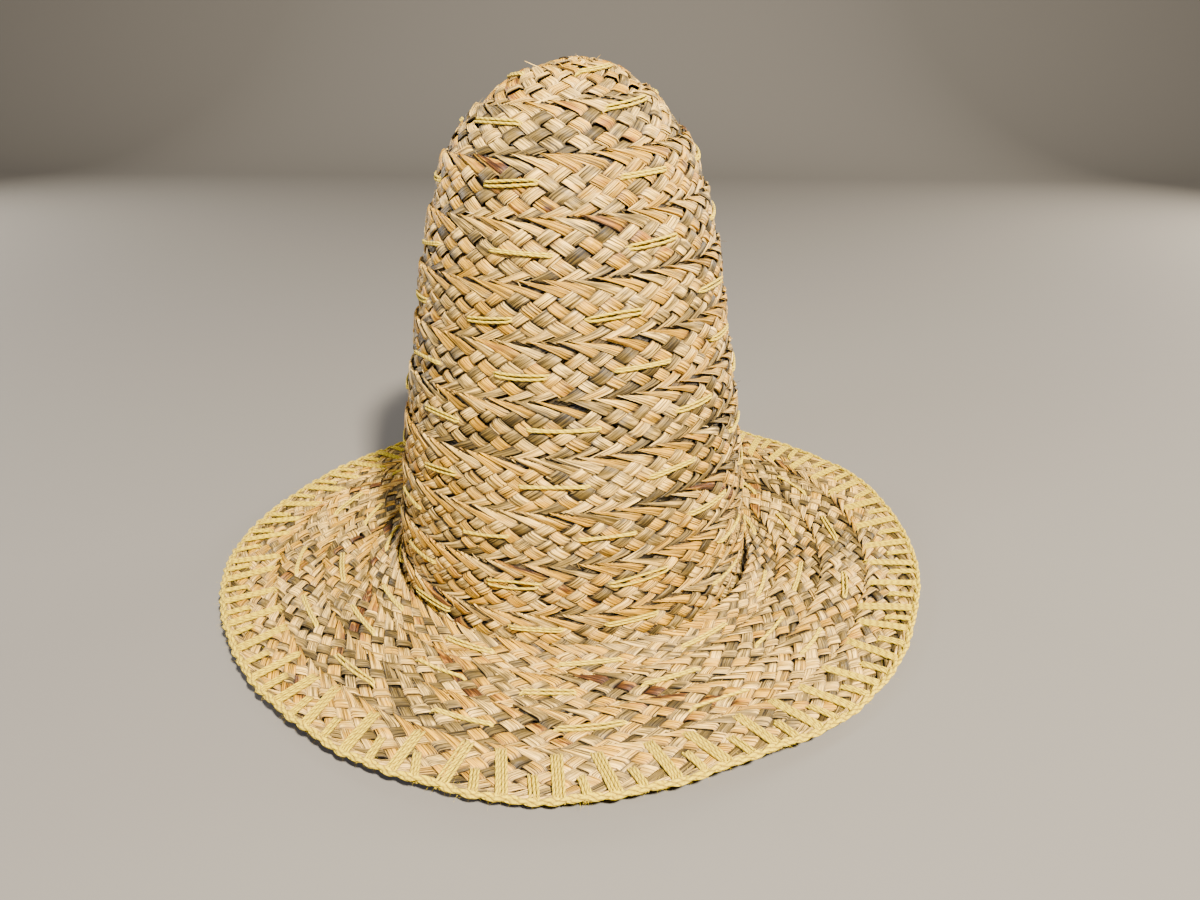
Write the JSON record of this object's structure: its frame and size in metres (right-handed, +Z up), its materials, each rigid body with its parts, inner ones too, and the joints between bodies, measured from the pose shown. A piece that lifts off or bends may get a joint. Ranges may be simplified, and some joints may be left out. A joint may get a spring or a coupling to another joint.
{
  "type": "straw hat",
  "caption": "Tall straw hat: a tapering crown coiled from one flat plait, a flat wavy brim of the same plait and a yarn-bound edge.",
  "frame": {"origin": "centre of the bottom of the hat's box, on the plane that the crown's mouth stands on, within a millimetre of the crown's axis", "axes": "+Z up along the crown's axis, the front of the hat facing -Y, +X to the right seen from the front"},
  "size_m": [0.3877, 0.3896, 0.2645],
  "materials": {
    "crown_straw": "plaited dry straw, pale gold with grey-green and brown strips, matt with a faint sheen",
    "brim_straw": "plaited dry straw, pale gold with grey-green and orange-brown strips, matt with a faint sheen",
    "yellow_yarn": "two-ply yellow yarn, matt and slightly fuzzy"
  },
  "bodies": {
    "root": {"crown": "crown_straw", "brim": "brim_straw", "edge_binding": "yellow_yarn"}
  },
  "joints": []
}
